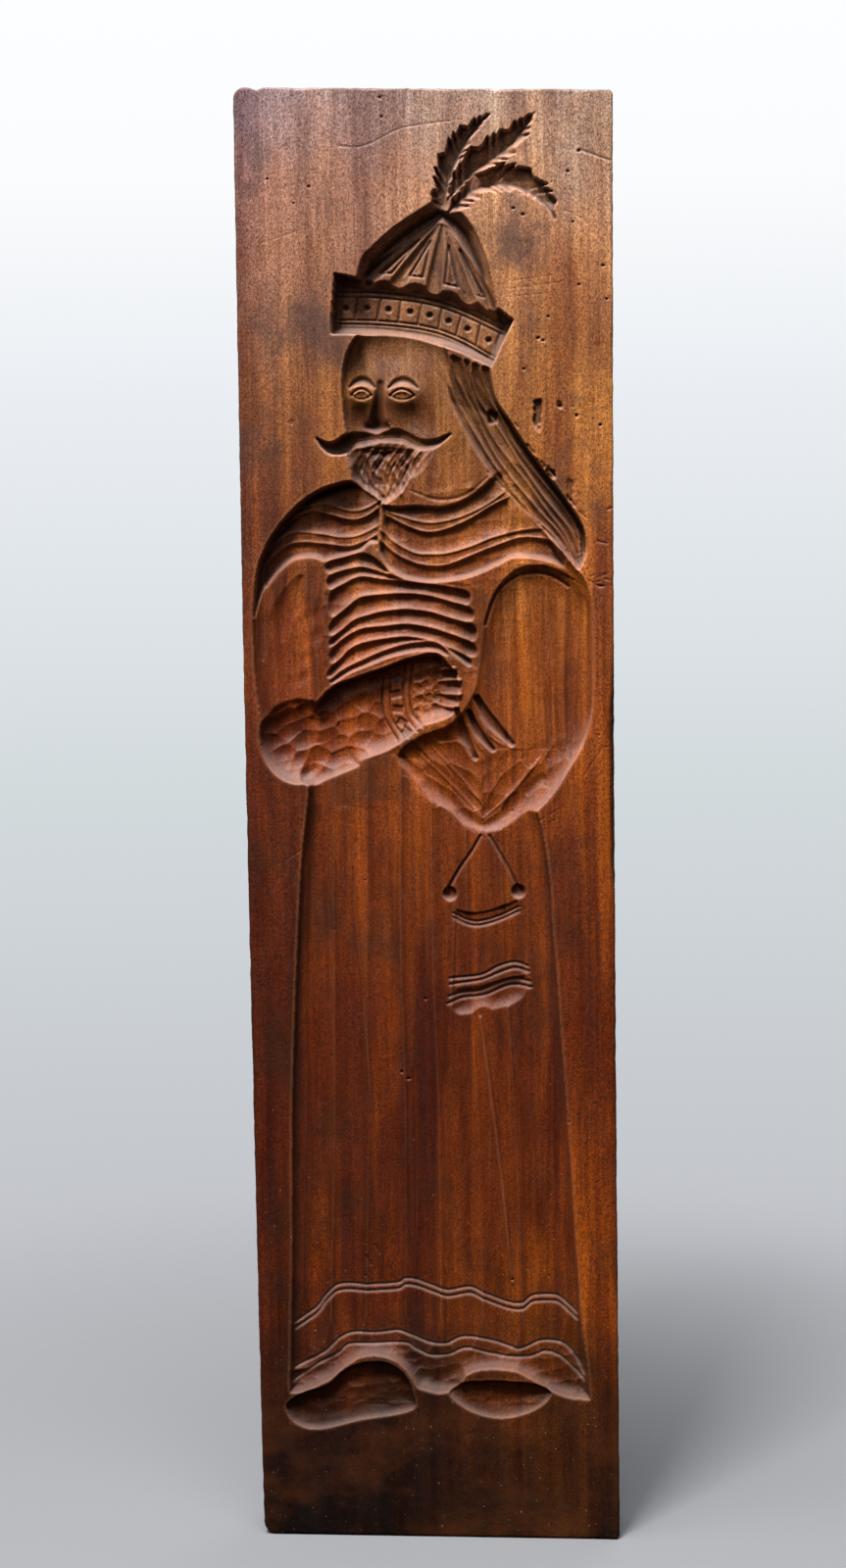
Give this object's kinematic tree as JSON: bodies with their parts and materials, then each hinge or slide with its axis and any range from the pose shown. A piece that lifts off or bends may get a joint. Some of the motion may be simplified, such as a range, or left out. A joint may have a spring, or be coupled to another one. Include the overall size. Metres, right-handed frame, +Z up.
{
  "type": "carved biscuit mould board",
  "caption": "Tall wooden plank with the figure of a bearded man in cap and robe cut into its face as a hollow, for pressing biscuit dough.",
  "frame": {"origin": "middle of the foot end, which the board stands on", "axes": "+Z up the board's length, from the figure's shoes to its plumes; the carved face looks along -Y and the plain back along +Y; +X is to the right of someone who looks at the carving"},
  "size_m": [0.16, 0.026, 0.636],
  "materials": {
    "wood": "dark aged fruitwood, waxed satin, worn along its edges"
  },
  "bodies": {
    "root": {"board": "wood"}
  },
  "joints": []
}
